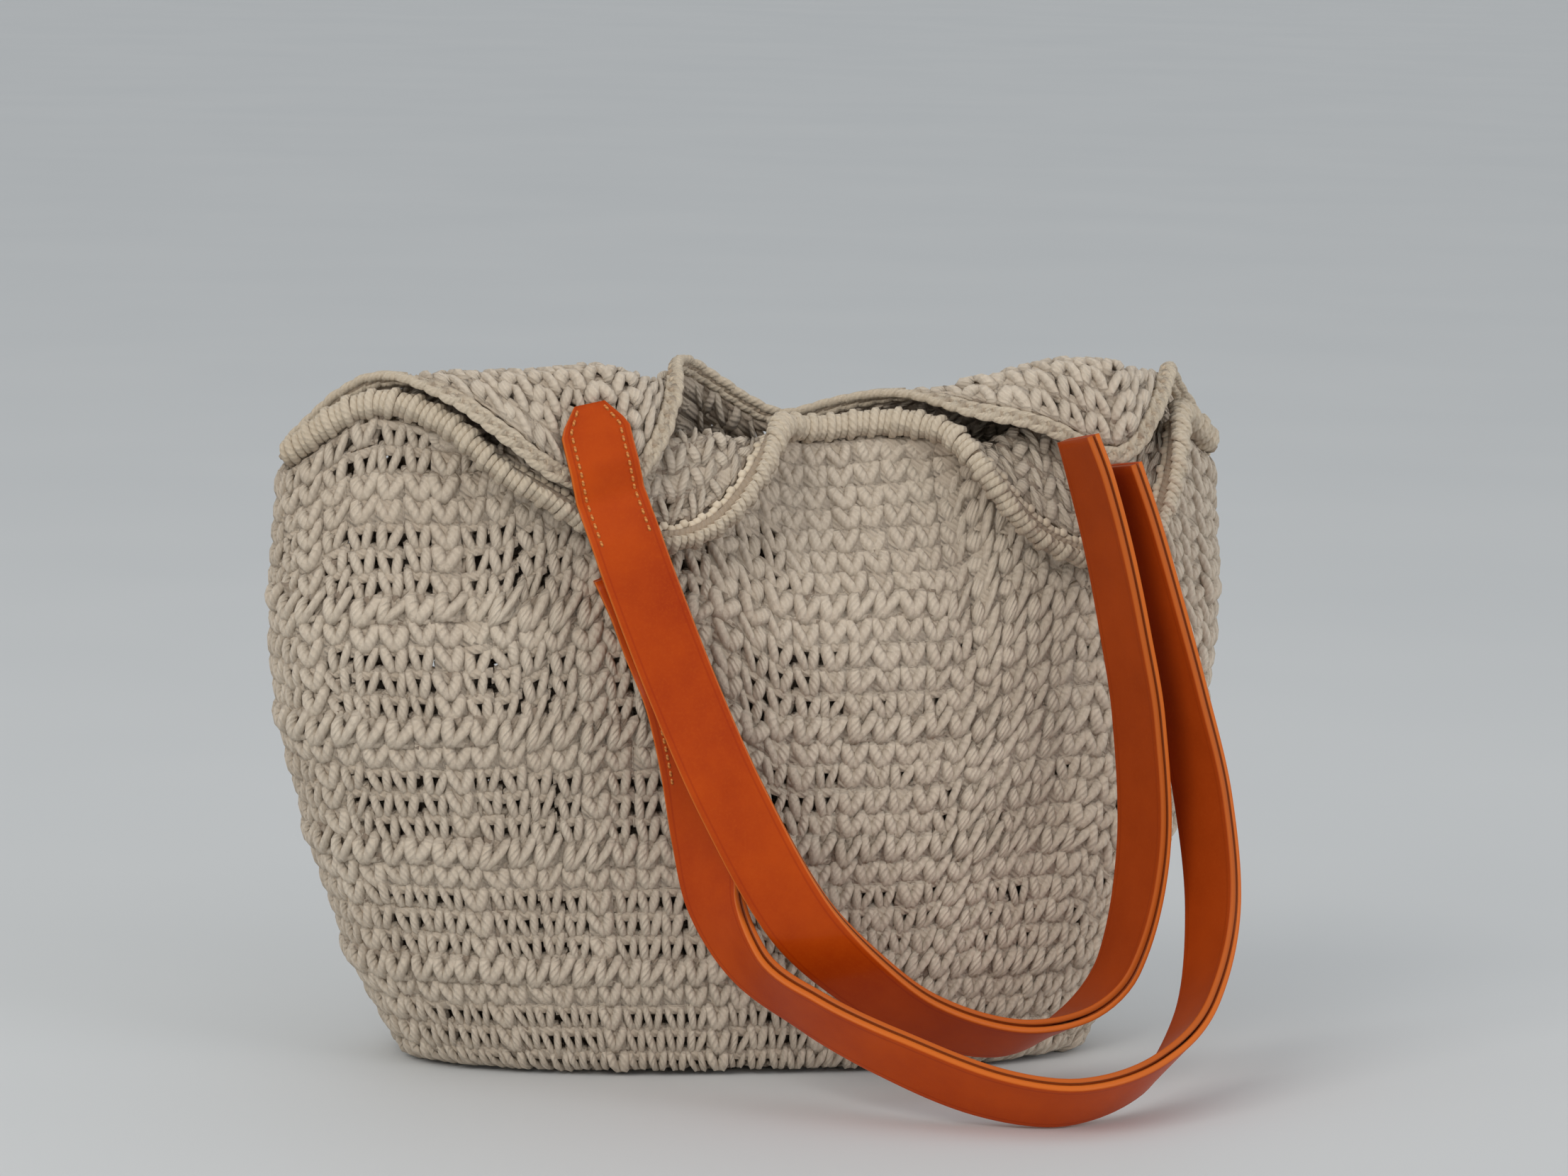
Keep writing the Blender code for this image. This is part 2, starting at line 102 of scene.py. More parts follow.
LEVELS = (
    # height, width spread, depth spread
    (0.00, 0.00, 0.00),
    (0.14, 0.37, 0.62),
    (0.30, 0.66, 0.98),
    (0.50, 0.94, 1.00),
    (0.62, 1.00, 0.80),
    (0.86, 0.97, 0.00),
    (1.00, 0.93, 0.00),
)
WALL_TOP_LEVEL = 0.62
FRONT_LINE = (
    # place, height, depth, lean, turned, flap
    (-1.00, 0.827, -0.45, 0.0, 0.0, 0.000),
    (-0.85, 0.911, -0.52, -4.0, 8.0, 0.000),
    (-0.72, 0.898, -0.60, -10.0, 60.0, 0.000),
    (-0.60, 0.876, -0.68, -12.0, 122.0, 0.012),
    (-0.50, 0.889, -0.70, -12.0, 150.0, 0.048),
    (-0.41, 0.893, -0.70, -12.0, 158.0, 0.086),
    (-0.30, 0.895, -0.70, -12.0, 160.0, 0.104),
    (-0.20, 0.898, -0.68, -12.0, 158.0, 0.095),
    (-0.11, 0.897, -0.58, -12.0, 138.0, 0.048),
    (-0.02, 0.882, -0.45, -8.0, 56.0, 0.000),
    (0.09, 0.870, -0.38, -4.0, 8.0, 0.000),
    (0.20, 0.880, -0.40, -4.0, 14.0, 0.000),
    (0.31, 0.882, -0.48, -8.0, 52.0, 0.000),
    (0.39, 0.884, -0.56, -12.0, 100.0, 0.009),
    (0.47, 0.899, -0.64, -12.0, 152.0, 0.080),
    (0.60, 0.910, -0.67, -12.0, 160.0, 0.148),
    (0.74, 0.910, -0.67, -12.0, 158.0, 0.145),
    (0.81, 0.905, -0.60, -10.0, 130.0, 0.045),
    (0.87, 0.900, -0.52, -6.0, 50.0, 0.000),
    (1.00, 0.827, -0.45, 0.0, 0.0, 0.000),
)
BACK_LINE = (
    # place, height, depth, lean, turned, flap
    (-1.00, 0.827, 0.45, 0.0, 0.0, 0.000),
    (-0.85, 0.936, -0.05, 20.0, 28.0, 0.000),
    (-0.72, 0.970, -0.36, 44.0, 108.0, 0.008),
    (-0.60, 0.978, -0.64, 50.0, 152.0, 0.045),
    (-0.49, 0.981, -0.66, 50.0, 165.0, 0.090),
    (-0.38, 0.983, -0.66, 50.0, 166.0, 0.100),
    (-0.31, 0.979, -0.62, 46.0, 150.0, 0.054),
    (-0.25, 0.973, -0.34, 36.0, 92.0, 0.008),
    (-0.17, 0.966, 0.08, 20.0, 34.0, 0.000),
    (-0.05, 0.917, 0.10, 12.0, 14.0, 0.000),
    (0.04, 0.882, 0.06, 10.0, 12.0, 0.000),
    (0.15, 0.902, 0.00, 14.0, 20.0, 0.000),
    (0.30, 0.936, -0.14, 34.0, 80.0, 0.000),
    (0.42, 0.957, -0.46, 44.0, 130.0, 0.015),
    (0.52, 0.983, -0.62, 50.0, 150.0, 0.036),
    (0.62, 0.992, -0.70, 50.0, 160.0, 0.070),
    (0.69, 0.987, -0.72, 50.0, 160.0, 0.085),
    (0.76, 0.980, -0.62, 48.0, 145.0, 0.042),
    (0.83, 0.970, -0.32, 38.0, 100.0, 0.008),
    (0.90, 0.950, 0.02, 20.0, 28.0, 0.000),
    (1.00, 0.827, 0.45, 0.0, 0.0, 0.000),
)
CREASES = (
    # place, lower, upper, half width, depth
    (-0.66, 0.52, 0.84, 0.045, 1.3),
    (0.40, 0.55, 0.90, 0.050, 1.1),
    (-0.20, 0.20, 0.60, 0.090, 0.8),
    (0.62, 0.15, 0.62, 0.080, 0.9),
)
INNER_STRAP = (
    # across, depth, height, turn
    (-0.440, -1.010, 0.944, 2.0),
    (-0.418, -1.150, 0.870, 3.0),
    (-0.392, -1.260, 0.800, 5.0),
    (-0.352, -1.375, 0.715, 8.0),
    (-0.266, -1.520, 0.560, 10.0),
    (-0.178, -1.680, 0.420, 12.0),
    (-0.048, -1.790, 0.264, 20.0),
    (0.078, -1.810, 0.180, 37.0),
    (0.222, -1.760, 0.115, 48.0),
    (0.416, -1.720, 0.078, 56.0),
    (0.570, -1.660, 0.108, 82.0),
    (0.660, -1.590, 0.172, 98.0),
    (0.708, -1.540, 0.330, 110.0),
    (0.688, -1.540, 0.515, 110.0),
    (0.650, -1.550, 0.640, 108.0),
    (0.610, -1.560, 0.750, 106.0),
    (0.566, -1.560, 0.850, 104.0),
    (0.540, -1.520, 0.905, 100.0),
)
OUTER_STRAP = (
    # across, depth, height, turn
    (-0.350, -1.165, 0.718, 6.0),
    (-0.316, -1.180, 0.660, 8.0),
    (-0.262, -1.255, 0.560, 13.0),
    (-0.222, -1.290, 0.450, 19.0),
    (-0.198, -1.310, 0.350, 37.0),
    (-0.180, -1.420, 0.262, 57.0),
    (-0.124, -1.670, 0.187, 65.0),
    (-0.028, -2.050, 0.139, 59.0),
    (0.090, -2.400, 0.100, 50.0),
    (0.275, -2.730, 0.054, 45.0),
    (0.440, -2.860, 0.042, 46.0),
    (0.630, -2.590, 0.066, 56.0),
    (0.765, -2.180, 0.132, 84.0),
    (0.830, -1.840, 0.252, 110.0),
    (0.822, -1.640, 0.405, 118.0),
    (0.775, -1.540, 0.550, 115.0),
    (0.715, -1.500, 0.690, 113.0),
    (0.668, -1.480, 0.790, 112.0),
    (0.632, -1.450, 0.865, 108.0),
)


def smooth(t):
    """Eased step from 0 to 1."""
    t = min(1.0, max(0.0, t))
    return t * t * (3.0 - 2.0 * t)


def read(rows, place, column, last_slope=None):
    """Value of one column of a table at a place, on a smooth curve through its rows."""
    place = min(rows[-1][0], max(rows[0][0], place))
    i = 0
    while i < len(rows) - 2 and place > rows[i + 1][0]:
        i += 1

    def slope(k):
        if k == len(rows) - 1 and last_slope is not None:
            return last_slope
        lo = max(0, k - 1)
        hi = min(len(rows) - 1, k + 1)
        return (rows[hi][column] - rows[lo][column]) / (rows[hi][0] - rows[lo][0])

    step = rows[i + 1][0] - rows[i][0]
    t = (place - rows[i][0]) / step
    a = rows[i][column]
    b = rows[i + 1][column]
    ease = t * t * (3.0 - 2.0 * t)
    start = t * (1.0 - t) * (1.0 - t) * step * slope(i)
    end = t * t * (t - 1.0) * step * slope(i + 1)
    return a + (b - a) * ease + start + end


def half_width(z):
    """Half the bag's width at a height."""
    return BASE_HALF_WIDTH + (BELLY_HALF_WIDTH - BASE_HALF_WIDTH) * read(LEVELS, z / HEIGHT, 1)


def panel_path(front, place):
    """Middle line of the fabric from the base to the edge: width, depth of the wall, height, and
    how far the fold carries the fabric past the wall's depth."""
    side = -1.0 if front else 1.0
    line = FRONT_LINE if front else BACK_LINE
    radius = FRONT_FOLD_RADIUS if front else BACK_FOLD_RADIUS
    crest = read(line, place, 1) * HEIGHT
    top_depth = read(line, place, 2) * BELLY_HALF_DEPTH
    lean = math.radians(read(line, place, 3))
    turned = max(lean, math.radians(read(line, place, 4)))
    flap = max(0.0, read(line, place, 5)) * FABRIC_LENGTH
    top = crest - radius * (math.sin(min(turned, math.pi / 2)) - math.sin(lean))

    rows = []
    for height, _, spread in LEVELS:
        if height <= WALL_TOP_LEVEL:
            depth = BASE_HALF_DEPTH + (BELLY_HALF_DEPTH - BASE_HALF_DEPTH) * spread
            rows.append((height * HEIGHT, side * depth))
    rows.append((top, top_depth))
    path = [(BASE_HALF_WIDTH - 0.016, side * (BASE_HALF_DEPTH - 0.014), 0.0034, 0.0),
            (BASE_HALF_WIDTH - 0.004, side * (BASE_HALF_DEPTH - 0.003), 0.0034, 0.0)]
    for k in range(1, WALL_STEPS + 1):
        z = top * k / WALL_STEPS
        path.append((half_width(z), read(rows, z, 1, -math.tan(lean)), z, 0.0))
    width = half_width(top)
    for k in range(1, FOLD_STEPS + 1):
        angle = lean + (turned - lean) * k / FOLD_STEPS
        carried = radius * (math.cos(angle) - math.cos(lean))
        path.append((width, top_depth, top + radius * (math.sin(angle) - math.sin(lean)), carried))
    _, _, z, carried = path[-1]
    for k in range(1, FLAP_STEPS + 1):
        run = (flap + 1e-6) * k / FLAP_STEPS
        path.append((width, top_depth, z + run * math.cos(turned), carried - run * math.sin(turned)))
    return np.array(path)


def even_angles(count):
    """Angles round the outline that space the columns evenly at the belly."""
    fine = np.linspace(0.0, 2.0 * math.pi, 2001) + math.pi
    across = np.sign(np.cos(fine)) * np.abs(np.cos(fine)) ** (2.0 / ROUNDNESS) * BELLY_HALF_WIDTH
    depth = np.sign(np.sin(fine)) * np.abs(np.sin(fine)) ** (2.0 / ROUNDNESS) * BELLY_HALF_DEPTH
    length = np.concatenate(([0.0], np.cumsum(np.hypot(np.diff(across), np.diff(depth)))))
    return np.interp(np.arange(count) / count * length[-1], length, fine)


class Fabric:
    """The fabric's middle surface: a grid of places and normals, round the bag and up it."""

    columns = 480
    rows = 150

    def __init__(self):
        shares = np.linspace(0.0, 1.0, self.rows + 1)
        places = []
        lengths = []
        creased = []
        for angle in even_angles(self.columns):
            cosine = math.cos(angle)
            sine = math.sin(angle)
            across = math.copysign(abs(cosine) ** (2.0 / ROUNDNESS), cosine)
            squeeze = abs(sine) ** (2.0 / ROUNDNESS)
            front = sine < 0.0
            path = panel_path(front, across)
            steps = np.hypot(np.diff(path[:, 1] + path[:, 3]), np.diff(path[:, 2]))
            length = np.concatenate(([0.0], np.cumsum(steps)))
            at = shares * length[-1]
            width = np.interp(at, length, path[:, 0]) * across
            deep = np.interp(at, length, path[:, 1]) * squeeze + np.interp(at, length, path[:, 3])
            z = np.interp(at, length, path[:, 2])
            turn = BASE_TURN * np.clip(1.0 - z / (0.5 * HEIGHT), 0.0, 1.0)
            x = width * np.cos(turn) + deep * np.sin(turn)
            y = deep * np.cos(turn) - width * np.sin(turn)
            places.append(np.stack([x, y, z], axis=1))
            lengths.append(length[-1])
            dents = np.zeros(len(at))
            if front:
                for place, lower, upper, spread, depth in CREASES:
                    near = math.exp(-((across - place) / spread) ** 2)
                    share = np.clip((at / FABRIC_LENGTH - lower) / (upper - lower), 0.0, 1.0)
                    dents += depth * WALL * near * np.sin(math.pi * share) ** 2
            creased.append(dents)
        places = np.array(places)
        spacing = np.linalg.norm(np.diff(places[:, 40], axis=0), axis=1).mean()
        for _ in range(round(2.0 * (SMOOTHING_REACH / spacing) ** 2)):
            places = (np.roll(places, 1, axis=0) + 2.0 * places + np.roll(places, -1, axis=0)) / 4.0
        along = np.roll(places, -3, axis=0) - np.roll(places, 3, axis=0)
        up = np.gradient(places, axis=1)
        normals = np.cross(along, up)
        normals /= np.linalg.norm(normals, axis=2, keepdims=True)
        places -= normals * np.array(creased)[:, :, None]
        self.places = places
        self.normals = normals
        self.lengths = np.array(lengths)

    def length_at(self, u):
        """Length of the fabric from the base to its edge, at a share round the bag."""
        shares = np.arange(self.columns + 1) / self.columns
        return np.interp(u % 1.0, shares, np.append(self.lengths, self.lengths[0]))

    def wrap(self, u, v, out):
        """World places of flat points: u round the bag and v up it as shares, out from the middle."""
        across = (u % 1.0) * self.columns
        up = np.clip(v, 0.0, 1.0) * self.rows
        extra = (v - np.clip(v, 0.0, 1.0)) * self.length_at(u)
        i = np.floor(across).astype(int) % self.columns
        j = np.minimum(np.floor(up).astype(int), self.rows - 1)
        a = (across - np.floor(across))[:, None]
        b = (up - j)[:, None]
        k = (i + 1) % self.columns
        result = []
        for grid in (self.places, self.normals):
            low = grid[i, j] * (1.0 - a) + grid[k, j] * a
            high = grid[i, j + 1] * (1.0 - a) + grid[k, j + 1] * a
            result.append(low * (1.0 - b) + high * b)
        place, normal = result
        normal = normal / np.linalg.norm(normal, axis=1, keepdims=True)
        above = np.minimum(j + 1, self.rows)
        run = self.places[i, above] - self.places[i, np.maximum(above - 3, 0)]
        run /= np.linalg.norm(run, axis=1, keepdims=True)
        return place + normal * out[:, None] + run * extra[:, None]


fabric = Fabric()

# Cords, modelled straight and then bent


def straight_cord(sides, sections):
    """Corners and faces of a straight cord of radius 1, from x 0 to x 1 in even sections."""
    bpy.ops.object.select_all(action="DESELECT")
    bpy.ops.mesh.primitive_cylinder_add(
        vertices=sides,
        radius=1.0,
        depth=1.0,
        end_fill_type="NGON",
        location=(0.5, 0.0, 0.0),
        rotation=(0.0, math.pi / 2, 0.0),
    )
    cord = bpy.context.object
    bpy.ops.object.transform_apply(location=True, rotation=True, scale=True)
    bpy.ops.object.mode_set(mode="EDIT")
    for cut in range(1, sections):
        bpy.ops.mesh.select_all(action="SELECT")
        bpy.ops.mesh.bisect(plane_co=(cut / sections, 0.0, 0.0), plane_no=(1.0, 0.0, 0.0))
    bpy.ops.object.mode_set(mode="OBJECT")
    corners = np.array([v.co for v in cord.data.vertices])
    faces = [tuple(f.vertices) for f in cord.data.polygons]
    bpy.data.objects.remove(cord)
    return corners, faces


def bend(cord, path, radius, squash=1.0, outward=None):
    """The straight cord along a path: corners, faces, coordinates and the station of each corner."""
    corners, faces = cord
    path = np.asarray(path, dtype=float)
    if outward is None:
        outward = np.tile((0.0, 0.0, 1.0), (len(path), 1))
    along = np.gradient(path, axis=0)
    along /= np.linalg.norm(along, axis=1, keepdims=True)
    side = np.cross(outward, along)
    side /= np.linalg.norm(side, axis=1, keepdims=True)
    out = np.cross(along, side)
    station = np.round(corners[:, 0] * (len(path) - 1)).astype(int)
    radius = np.broadcast_to(np.asarray(radius, dtype=float), (len(path),))[station][:, None]
    places = path[station] + side[station] * corners[:, 1:2] * radius
    places = places + out[station] * corners[:, 2:3] * radius * squash
    run = np.concatenate(([0.0], np.cumsum(np.linalg.norm(np.diff(path, axis=0), axis=1))))
    around = np.arctan2(corners[:, 2], corners[:, 1]) / (2.0 * math.pi) + 0.5
    coordinates = []
    for face in faces:
        turns = around[list(face)]
        if len(face) > 4:
            turns = np.full(len(face), 0.5)
        elif turns.max() - turns.min() > 0.5:
            turns = np.where(turns < 0.5, turns + 1.0, turns)
        coordinates.extend(zip(run[station[list(face)]], turns))
    return places, faces, np.array(coordinates), station


def piece_from(name, corners, faces, coordinates, tone, material, replaced=()):
    """A finished piece, smooth, with its cord coordinates and tone, riding on the bag."""
    mesh = bpy.data.meshes.new(name)
    mesh.from_pydata(np.asarray(corners).tolist(), [], faces)
    layer = mesh.uv_layers.new(name="cord")
    layer.data.foreach_set("uv", np.asarray(coordinates, dtype=np.float32).ravel())
    attribute = mesh.attributes.new("tone", "FLOAT", "POINT")
    attribute.data.foreach_set("value", np.asarray(tone, dtype=np.float32))
    mesh.shade_smooth()
    mesh.materials.append(material)
    piece = bpy.data.objects.new(name, mesh)
    bpy.context.scene.collection.objects.link(piece)
    bpy.ops.object.select_all(action="DESELECT")
    bpy.context.view_layer.objects.active = piece
    piece.select_set(True)
    bpy.ops.object.mode_set(mode="EDIT")
    bpy.ops.mesh.select_all(action="SELECT")
    bpy.ops.mesh.normals_make_consistent(inside=False)
    bpy.ops.object.mode_set(mode="OBJECT")
    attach(piece, "root")
    if replaced:
        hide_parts(*replaced)


def joined(copies):
    """Many bent cords as one set of corners, faces, coordinates and tones."""
    offset = 0
    corners = []
    faces = []
    coordinates = []
    tones = []
    for places, own, uv, tone in copies:
        corners.append(places)
        faces.extend([tuple(i + offset for i in face) for face in own])
        coordinates.append(uv)
        tones.append(tone)
        offset += len(places)
    return np.concatenate(corners), faces, np.concatenate(coordinates), np.concatenate(tones)


# Materials


class Maths:
    """A shader socket that adds Math nodes when it is used in an expression."""

    def __init__(self, graph, socket):
        self.graph = graph
        self.socket = socket

    def join(self, operation, a, b=None, clamp=False):
        """The socket of a new Math node."""
        settings = {"operation": operation, "use_clamp": clamp}
        inputs = {k: value for k, value in enumerate((a, b)) if value is not None}
        return Maths(self.graph, self.graph.add("ShaderNodeMath", settings, inputs).outputs[0])

    def __add__(self, other):
        return self.join("ADD", self, other)

    def __sub__(self, other):
        return self.join("SUBTRACT", self, other)

    def __rsub__(self, other):
        return self.join("SUBTRACT", other, self)

    def __mul__(self, other):
        return self.join("MULTIPLY", self, other)

    __radd__ = __add__
    __rmul__ = __mul__

    def sine(self):
        return self.join("SINE", self)

    def size(self):
        """The value without its sign."""
        return self.join("ABSOLUTE", self)

    def clamped(self):
        """The value held between 0 and 1."""
        return self.join("ADD", self, 0.0, True)

    def step(self, low, high):
        """0 below low, 1 above high, eased between."""
        settings = {"interpolation_type": "SMOOTHSTEP"}
        inputs = {"Value": self, "From Min": low, "From Max": high}
        return Maths(self.graph, self.graph.add("ShaderNodeMapRange", settings, inputs).outputs["Result"])


class Finish:
    """One material and the nodes in it."""

    def __init__(self, name, **sockets):
        self.material = bpy.data.materials.new(name)
        self.material.use_nodes = True
        self.tree = self.material.node_tree
        self.shader = self.tree.nodes["Principled BSDF"]
        for socket, value in sockets.items():
            self.put(self.shader.inputs[socket.replace("_", " ")], value)

    def put(self, socket, value):
        """A value, colour or link into a socket."""
        if isinstance(value, Maths):
            value = value.socket
        if isinstance(value, bpy.types.NodeSocket):
            self.tree.links.new(value, socket)
        elif isinstance(value, tuple) and socket.type == "RGBA":
            socket.default_value = (*value, 1.0)
        else:
            socket.default_value = value

    def add(self, kind, settings=None, inputs=None):
        """A new node with its settings and inputs."""
        node = self.tree.nodes.new(kind)
        for key, value in (settings or {}).items():
            setattr(node, key, value)
        for key, value in (inputs or {}).items():
            self.put(node.inputs[key], value)
        return node

    def set(self, socket, value):
        """A value, colour or link into the surface shader."""
        self.put(self.shader.inputs[socket], value)

    def place(self):
        """Place on the bag in metres."""
        return self.add("ShaderNodeTexCoord").outputs["Object"]

    def coordinate(self):
        """Length along the cord or strip, and place across or round it."""
        along = self.add("ShaderNodeUVMap", {"uv_map": "cord"}).outputs["UV"]
        split = self.add("ShaderNodeSeparateXYZ", None, {0: along})
        return Maths(self, split.outputs["X"]), Maths(self, split.outputs["Y"])

    def tone(self):
        """How light each corner of the piece is, as its maker set it: random tone, and on the cords also
        painted shade in hollows, undersides and cores.
        """
        return Maths(self, self.add("ShaderNodeAttribute", {"attribute_name": "tone"}).outputs["Fac"])

    def vector(self, x, y, z):
        return self.add("ShaderNodeCombineXYZ", None, {0: x, 1: y, 2: z}).outputs[0]

    def noise(self, vector, scale, detail=3.0, roughness=0.5):
        inputs = {"Vector": vector, "Scale": scale, "Detail": detail, "Roughness": roughness}
        return Maths(self, self.add("ShaderNodeTexNoise", None, inputs).outputs["Fac"])

    def mixed(self, share, a, b):
        """A colour between two."""
        settings = {"data_type": "RGBA", "clamp_factor": True}
        return self.add("ShaderNodeMix", settings, {0: share, 6: a, 7: b}).outputs[2]

    def bump(self, height, strength, distance):
        """Fine relief on the surface."""
        inputs = {"Height": height, "Strength": strength, "Distance": distance}
        self.set("Normal", self.add("ShaderNodeBump", None, inputs).outputs["Normal"])


def linear(*screen):
    """Linear colour from eight-bit screen values."""
    return tuple(((c / 255.0 + 0.055) / 1.055) ** 2.4 for c in screen)


def cord_finish(name, light, dark, hollow_shade):
    """Loosely plied cotton cord: twisted plies and fine fibres, with painted shade in the twist's grooves
    and browner painted shade in the hollows.
    """
    finish = Finish(name, Roughness=0.95, Specular_IOR_Level=0.1, Sheen_Weight=0.15, Sheen_Roughness=0.6)
    run, around = finish.coordinate()
    tone = finish.tone()
    fibres = finish.noise(finish.vector(run * 700.0, around * 22.0, tone * 40.0), 1.0, 4.0, 0.7)
    # Painted shade: the twist wave darkens the cord in the grooves between its plies, where the bump
    # sinks.
    twist = (run * 2600.0 + around * 18.85 + tone * 9.0).sine() * 0.5 + 0.5
    cloud = finish.noise(finish.place(), 24.0, 3.0)
    # Fibres and cloud give the cord's own tone; the tone attribute brings random knot tone and painted
    # shade in the hollows.
    shade = (fibres * 0.9 + twist * 0.22 + cloud * 0.8 + tone * 0.5 - 0.95).clamped()
    colour = finish.mixed(shade, dark, light)
    # Painted shade: low-tone corners, deep in the knots, are mixed towards the brown hollow shade colour.
    deep = 1.0 - tone.step(0.22, 0.58)
    finish.set("Base Color", finish.mixed(deep * 0.8, colour, hollow_shade))
    finish.bump(twist * 0.55 + fibres * 1.0, 0.9, 0.0009)
    return finish.material


def leather_finish(name, deep, mid, bright, edge, gloss):
    """Glazed leather, mottled, with lighter burnished edges and a dark line at its seam side."""
    finish = Finish(
        name,
        Specular_IOR_Level=0.08,
        Coat_Weight=gloss,
        Coat_Roughness=0.16,
        Roughness=0.42,
    )
    run, across = finish.coordinate()
    tone = finish.tone()
    mottle = finish.noise(finish.vector(run * 55.0, across * 1.6, 0.3), 1.0, 4.0, 0.6)
    cloud = finish.noise(finish.place(), 16.0, 2.0)
    speckle = finish.noise(finish.place(), 900.0, 3.0, 0.7)
    grain = finish.noise(finish.place(), 2600.0, 2.0, 0.6)
    colour = finish.mixed((mottle * 0.7 + cloud * 0.9 - 0.3).clamped(), deep, bright)
    colour = finish.mixed(speckle.step(0.45, 0.75) * 0.35, colour, mid)
    side = (across - 0.5).size()
    crease = side.step(0.385, 0.405) * (1.0 - side.step(0.41, 0.43))
    colour = finish.mixed(crease * 0.45, colour, deep)
    colour = finish.mixed(side.step(0.47, 0.495) * 0.6, colour, edge)
    seam = 1.0 - tone.step(0.02, 0.22)
    colour = finish.mixed(seam * side.step(0.47, 0.5) * 0.8, colour, linear(70, 26, 12))
    finish.set("Base Color", colour)
    finish.set("Roughness", 0.36 + speckle * 0.16)
    finish.bump(grain * 0.5 + speckle * 0.5, 0.12, 0.0004)
    return finish.material


cotton = cord_finish(
    "natural_cotton",
    linear(236, 221, 200),
    linear(204, 186, 164),
    # painted shade colour of the hollows
    linear(158, 136, 116),
)
edge_cotton = cord_finish(
    "edging_cotton",
    linear(238, 222, 198),
    linear(206, 188, 162),
    # painted shade colour of the hollows
    linear(160, 138, 116),
)
leather = leather_finish(
    "orange_tan_leather",
    linear(152, 42, 2),
    linear(188, 78, 12),
    linear(202, 80, 6),
    linear(222, 122, 46),
    0.14,
)
lining = leather_finish(
    "strap_lining_leather",
    linear(142, 50, 8),
    linear(170, 72, 20),
    linear(176, 70, 16),
    linear(206, 108, 42),
    0.05,
)


def thread_finish():
    """Waxed golden thread."""
    finish = Finish("waxed_thread", Roughness=0.5)
    run, around = finish.coordinate()
    lay = (run * 5200.0 + around * 6.283).sine() * 0.5 + 0.5
    # Painted shade: the thread is darker where the lay wave is low, in the grooves that the bump sinks.
    finish.set("Base Color", finish.mixed(lay, linear(176, 96, 34), linear(224, 146, 66)))
    finish.bump(lay, 0.4, 0.0002)
    return finish.material


thread = thread_finish()

# The knots

STITCHES_ROUND = 80
STITCH_WIDTH = 0.0109
STITCH_HEIGHT = 0.0097
FIRST_ROW_CENTRE = 0.0155
BLOCK = 5
POST_COLUMN = 2
RIB_ROW = 4
RIBBED_ROWS = 20
FITTED_ROWS = 6
ROWS_TO_TOP = 30.0
LOWEST = 0.0004

# How far knots differ from each other, in shares of a knot, and in metres for proud
SLANT_SPREAD = 0.11
ACROSS_SPREAD = 0.055
UP_SPREAD = 0.065
FATNESS_SPREAD = 0.08
PROUD_SPREAD = 0.0003
TONE_SPREAD = 0.08

# How open the knots are: at the front's left, what is lost to the right and upwards, and behind
OPEN_LEFT = 1.55
LOST_RIGHT = 1.20
LOST_UP = 0.75
OPEN_BEHIND = 0.55
OPEN_SPREAD = 0.25
OPEN_KNOT = 0.4

# Relief of the ribs and posts between the blocks, and the lean of a rib's legs
RIB_HEIGHT = 0.0014
POST_HEIGHT = 0.0005
RIB_LEAN = 0.42

# Painted shade: tone at the bottom of a knot's hollows, where the cord is painted darker, and its rise to
# the top, with the depths of both
HOLLOW_SHADE_TONE = 0.28
TONE_RISE = 0.62
HOLLOW_DEPTH = 0.0020
TONE_DEPTH = 0.0050

PAD_REACH = 0.53
PAD_BOTTOM_OVER_HOLE = 0.14
PAD_INNER = -0.0012
PAD_OUTER = 0.0017
# The pads' tone paints the mild shade of a knot's middle depth.
PAD_SHADE_TONE = 0.52
PAD_TURNS = 100.0

# Strands of one knot: place across and up in shares of the knot, and out from the middle surface
# in metres, for the right half; the left half is its mirror
FACE_LEG = (
    (0.32, 0.52, -0.0006),
    (0.37, 0.33, 0.0010),
    (0.29, 0.08, 0.0017),
    (0.17, -0.16, 0.0016),
    (0.07, -0.38, 0.0008),
    (0.02, -0.55, -0.0007),
)
REVERSE_LEG = (
    (0.42, 0.58, 0.0002),
    (0.33, 0.22, -0.0015),
    (0.20, -0.16, -0.0016),
    (0.08, -0.56, 0.0000),
)
BAR = (
    (-0.54, -0.50, -0.0005),
    (-0.18, -0.45, 0.0002),
    (0.18, -0.45, 0.0002),
    (0.54, -0.50, -0.0005),
)
FACE_CORD = straight_cord(6, 5)
BACK_CORD = straight_cord(5, 3)
STRANDS = (
    # strand, mirrored, radius, squash, straight cord, kind
    (FACE_LEG, 1.0, 0.0027, 0.74, FACE_CORD, "face"),
    (FACE_LEG, -1.0, 0.0027, 0.74, FACE_CORD, "face"),
    (REVERSE_LEG, 1.0, 0.0020, 0.86, BACK_CORD, "reverse"),
    (REVERSE_LEG, -1.0, 0.0020, 0.86, BACK_CORD, "reverse"),
    (BAR, 1.0, 0.0017, 0.80, BACK_CORD, "bar"),
)


def openness(u, row, generator):
    """How open each knot is: blocks of square holes low down and at the left, few elsewhere."""
    column = np.floor(u * STITCHES_ROUND).astype(int)
    front = u < 0.5
    across = np.where(front, -np.cos(u * 2.0 * math.pi), np.cos(u * 2.0 * math.pi))
    high = row / ROWS_TO_TOP
    inside = (column % BLOCK != POST_COLUMN) & (row % BLOCK != RIB_ROW) & (row % BLOCK != RIB_ROW - 1)
    want = OPEN_LEFT - LOST_RIGHT * np.clip((across + 0.62) / 0.9, 0.0, 1.0)
    want = want - LOST_UP * np.clip((high - 0.28) / 0.9, 0.0, 1.0)
    want = np.where(front, want, OPEN_BEHIND) + generator.normal(0.0, OPEN_SPREAD, len(u))
    return np.where(inside, np.clip(want, 0.0, 1.0), 0.0)


PAD_FACES = ((0, 1, 3, 2), (4, 6, 7, 5), (0, 4, 5, 1), (2, 3, 7, 6), (0, 2, 6, 4), (1, 5, 7, 3))


